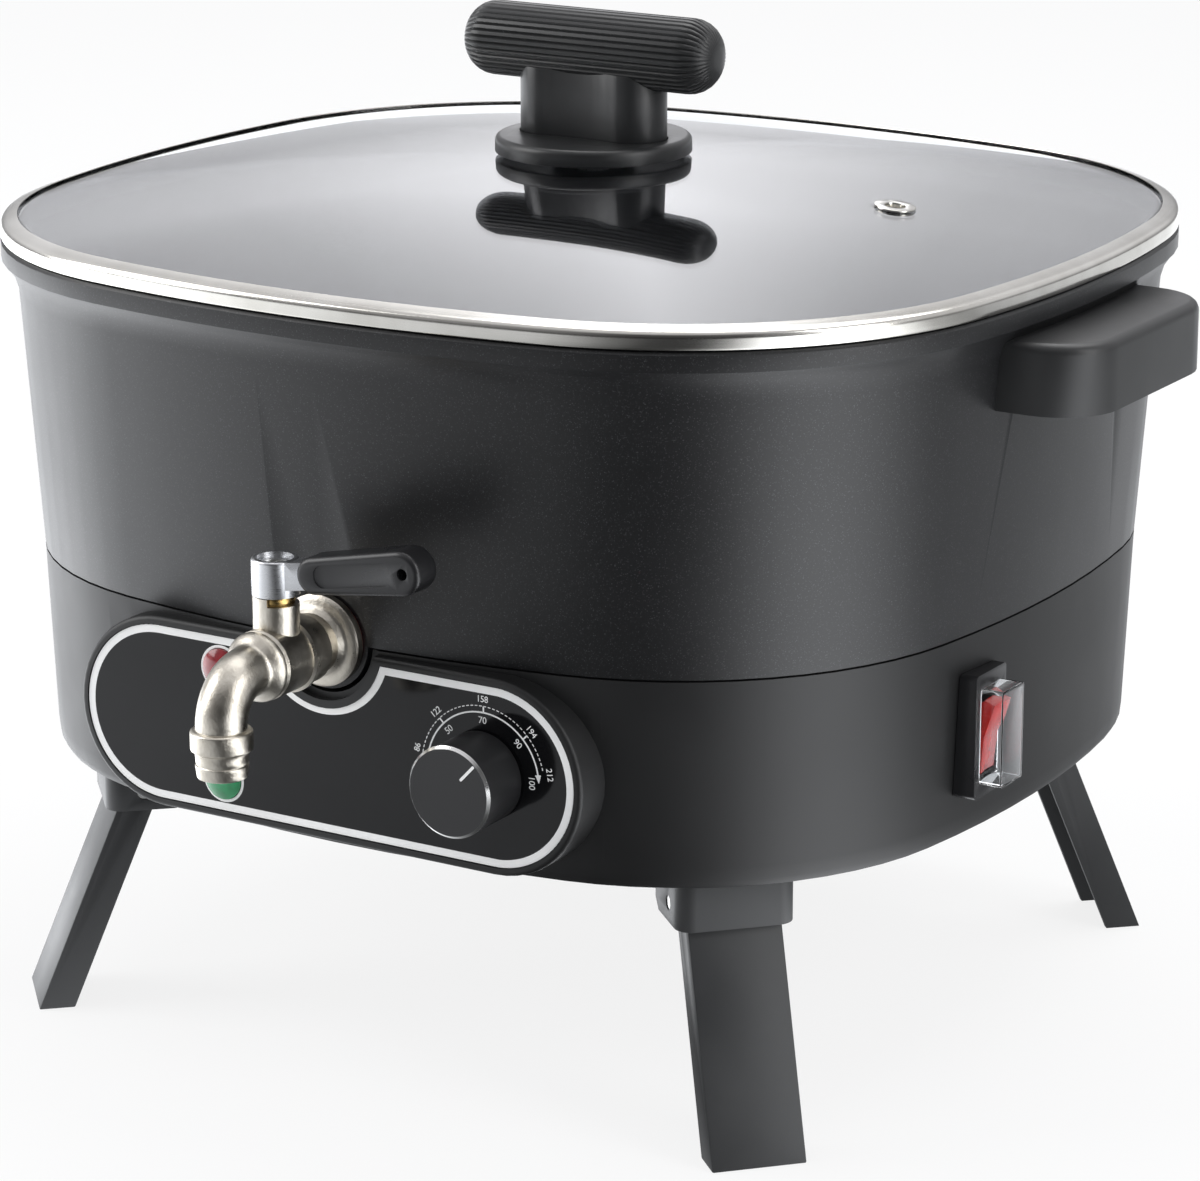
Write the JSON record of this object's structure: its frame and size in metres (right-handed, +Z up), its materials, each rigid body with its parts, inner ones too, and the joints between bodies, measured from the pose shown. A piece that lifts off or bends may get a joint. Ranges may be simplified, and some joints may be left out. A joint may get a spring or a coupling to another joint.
{
  "type": "candle wax melter",
  "caption": "Square heated wax melting pot with bowed sides on folding legs, with a glass lid, a ball-valve tap with an elbow spout, a thermostat dial and a rocker switch.",
  "frame": {"origin": "middle of the footprint on the ground, under the middle of the overall box", "axes": "+Z up, -Y towards the front with the tap and the control panel, +X towards the side with the rocker switch"},
  "size_m": [0.364, 0.3518, 0.293],
  "materials": {
    "glass": "clear tempered glass",
    "steel_trim": "polished stainless steel",
    "black_plastic": "matte black heat-resistant plastic",
    "pot_coat": "charcoal powder coat with a fine metallic sparkle",
    "plate_metal": "black painted sheet",
    "fastener": "zinc-plated steel",
    "gasket_rubber": "black silicone",
    "gasket_red": "red silicone",
    "inlay_gloss": "gloss black printed plate with a white border",
    "lamp_red": "translucent red",
    "lamp_amber": "translucent amber",
    "lamp_green": "translucent green",
    "pale_plastic": "off-white heat-resistant plastic",
    "dial_black": "black with a turned face and a bright chamfer",
    "copper": "copper",
    "element_metal": "sheathed element, dull",
    "sheet_metal": "aluminised sheet",
    "rocker_red": "translucent red rocker",
    "clear_cover": "clear soft splash cap",
    "nickel": "nickel plating over sand-cast brass",
    "brass": "brass",
    "lever_aluminium": "satin aluminium",
    "ptfe": "white PTFE"
  },
  "bodies": {
    "base": {"pot": "pot_coat", "base_housing": "black_plastic", "bottom_plate": "plate_metal", "side_handle_right": "black_plastic", "side_handle_left": "black_plastic", "handle_screws": "fastener", "panel_inlay": "inlay_gloss", "lamp_red": "lamp_red", "lamp_amber": "lamp_amber", "lamp_green": "lamp_green", "lamp_bodies": "pale_plastic", "thermostat_body": "sheet_metal", "thermostat_nut": "fastener", "capillary_bulb": "copper", "bulb_clips": "fastener", "thermal_fuse": "pale_plastic", "heating_element": "element_metal", "heat_shield": "sheet_metal", "terminal_block": "pale_plastic", "pot_bolts": "fastener", "cord_grommet": "gasket_rubber", "switch_bezel": "black_plastic", "switch_body": "black_plastic", "switch_cover": "clear_cover", "tap_body": "nickel", "tap_spout": "nickel", "tap_seats": "ptfe", "tap_gland": "brass", "tap_gasket": "gasket_red", "tap_locknut": "nickel", "bracket_front_right": "black_plastic", "bracket_front_left": "black_plastic", "bracket_rear_right": "black_plastic", "bracket_rear_left": "black_plastic", "leg_pins": "fastener", "bracket_screws": "fastener"},
    "lid": {"lid_glass": "glass", "lid_rim": "steel_trim", "vent_grommet": "steel_trim", "knob_disc": "black_plastic", "knob_stem": "black_plastic", "knob_grip": "black_plastic", "knob_screw": "fastener", "knob_gasket": "gasket_rubber"},
    "dial": {"dial_knob": "dial_black", "dial_cap": "dial_black", "dial_shaft": "fastener"},
    "rocker": {"switch_rocker": "rocker_red"},
    "tap_handle": {"tap_lever": "lever_aluminium", "tap_grip": "black_plastic", "tap_screw": "fastener", "tap_stem": "nickel", "tap_ball": "nickel"},
    "front_right_leg": {"leg_front_right": "black_plastic"},
    "front_left_leg": {"leg_front_left": "black_plastic"},
    "rear_right_leg": {"leg_rear_right": "black_plastic"},
    "rear_left_leg": {"leg_rear_left": "black_plastic"}
  },
  "joints": [
    {"name": "lid_lift", "type": "slide", "parent": "base", "child": "lid", "axis": [0, 0, 1], "range_m": [0, 0.25]},
    {"name": "tap_turn", "type": "hinge", "parent": "base", "child": "tap_handle", "pos_m": [0, -0.1412, 0.139], "axis": [0, 0, -1], "range_deg": [0, 90]},
    {"name": "dial_turn", "type": "hinge", "parent": "base", "child": "dial", "pos_m": [0.0524, -0.1266, 0.1081], "axis": [0, 1, 0], "range_deg": [-143, 62]},
    {"name": "switch_tip", "type": "hinge", "parent": "base", "child": "rocker", "pos_m": [0.15033, -0.0166, 0.109], "axis": [0, 1, 0], "range_deg": [-20, 0]},
    {"name": "front_right_leg_fold", "type": "hinge", "parent": "base", "child": "front_right_leg", "pos_m": [0.10151, -0.07226, 0.0675], "axis": [0.6858, 0.7278, 0], "range_deg": [0, 112.2]},
    {"name": "front_left_leg_fold", "type": "hinge", "parent": "base", "child": "front_left_leg", "pos_m": [-0.10151, -0.07226, 0.0675], "axis": [0.6858, -0.7278, 0], "range_deg": [0, 112.2]},
    {"name": "rear_right_leg_fold", "type": "hinge", "parent": "base", "child": "rear_right_leg", "pos_m": [0.10151, 0.11906, 0.0675], "axis": [-0.6858, 0.7278, 0], "range_deg": [0, 112.2]},
    {"name": "rear_left_leg_fold", "type": "hinge", "parent": "base", "child": "rear_left_leg", "pos_m": [-0.10151, 0.11906, 0.0675], "axis": [-0.6858, -0.7278, 0], "range_deg": [0, 112.2]}
  ]
}
